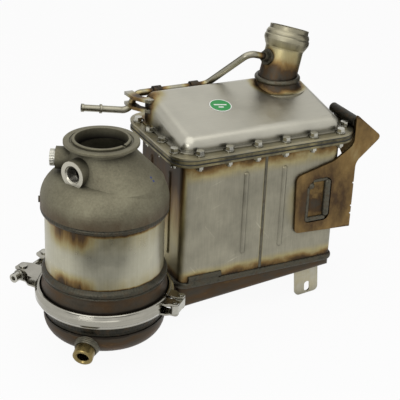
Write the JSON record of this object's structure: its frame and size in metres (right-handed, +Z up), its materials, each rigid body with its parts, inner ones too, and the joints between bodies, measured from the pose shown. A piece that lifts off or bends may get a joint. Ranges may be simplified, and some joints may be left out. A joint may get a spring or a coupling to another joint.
{
  "type": "diesel particulate filter",
  "caption": "Diesel particulate filter unit: a cast inlet over a round catalyst, clamped to a collector tray that feeds a box-shaped filter with a bolted sloping lid and a beaded outlet.",
  "frame": {"origin": "centre of the inlet bore, in the plane of the inlet flange face", "axes": "+Z up out of the inlet, +X along the front of the filter box away from the catalyst, +Y towards the back of the box"},
  "size_m": [0.4358, 0.2212, 0.3197],
  "materials": {
    "cast": "as-cast steel, matte",
    "steel": "dull stainless sheet with heat tint",
    "satin": "satin stainless sheet",
    "weld": "dark weld metal",
    "tinted": "stainless sheet with brown heat tint",
    "polished": "polished stainless",
    "zinc": "bright zinc-plated steel",
    "boss": "straw-coloured plated steel",
    "gasket": "dark graphite-faced gasket sheet",
    "mat": "ceramic-fibre support mat",
    "catalyst": "coated honeycomb ceramic",
    "block": "dark honeycomb filter ceramic",
    "sticker": "printed green label"
  },
  "bodies": {
    "root": {"inlet_housing": "cast", "inlet_plug": "zinc", "upper_weld": "weld", "catalyst_shell": "steel", "catalyst_mat": "mat", "catalyst_brick": "catalyst", "lower_weld": "weld", "upper_rim_flange": "tinted", "joint_gasket": "gasket", "lower_rim_flange": "tinted", "clamp_half_front": "polished", "clamp_half_back": "polished", "clamp_link": "zinc", "clamp_pins": "zinc", "clamp_trunnions": "zinc", "clamp_screw": "zinc", "clamp_nut": "zinc", "collector_tray": "tinted", "lower_sensor_boss": "boss", "lower_boss_weld": "weld", "box_half_left": "steel", "box_half_right": "steel", "box_seam_welds": "weld", "box_foot_weld": "weld", "box_flange": "satin", "lower_flange_gasket": "gasket", "filter_cartridge": "steel", "filter_mat": "mat", "filter_block": "block", "upper_flange_gasket": "gasket", "lid_frame": "satin", "lid": "satin", "lid_screws": "zinc", "lid_nuts": "zinc", "outlet_pipe": "satin", "outlet_weld": "weld", "tube_boss": "weld", "pressure_tube": "satin", "tube_clips": "tinted", "tube_strap": "tinted", "bracket_plate": "tinted", "bracket_weld": "weld", "bracket_tube": "weld", "foot_tab": "satin", "sticker": "sticker"}
  },
  "joints": []
}
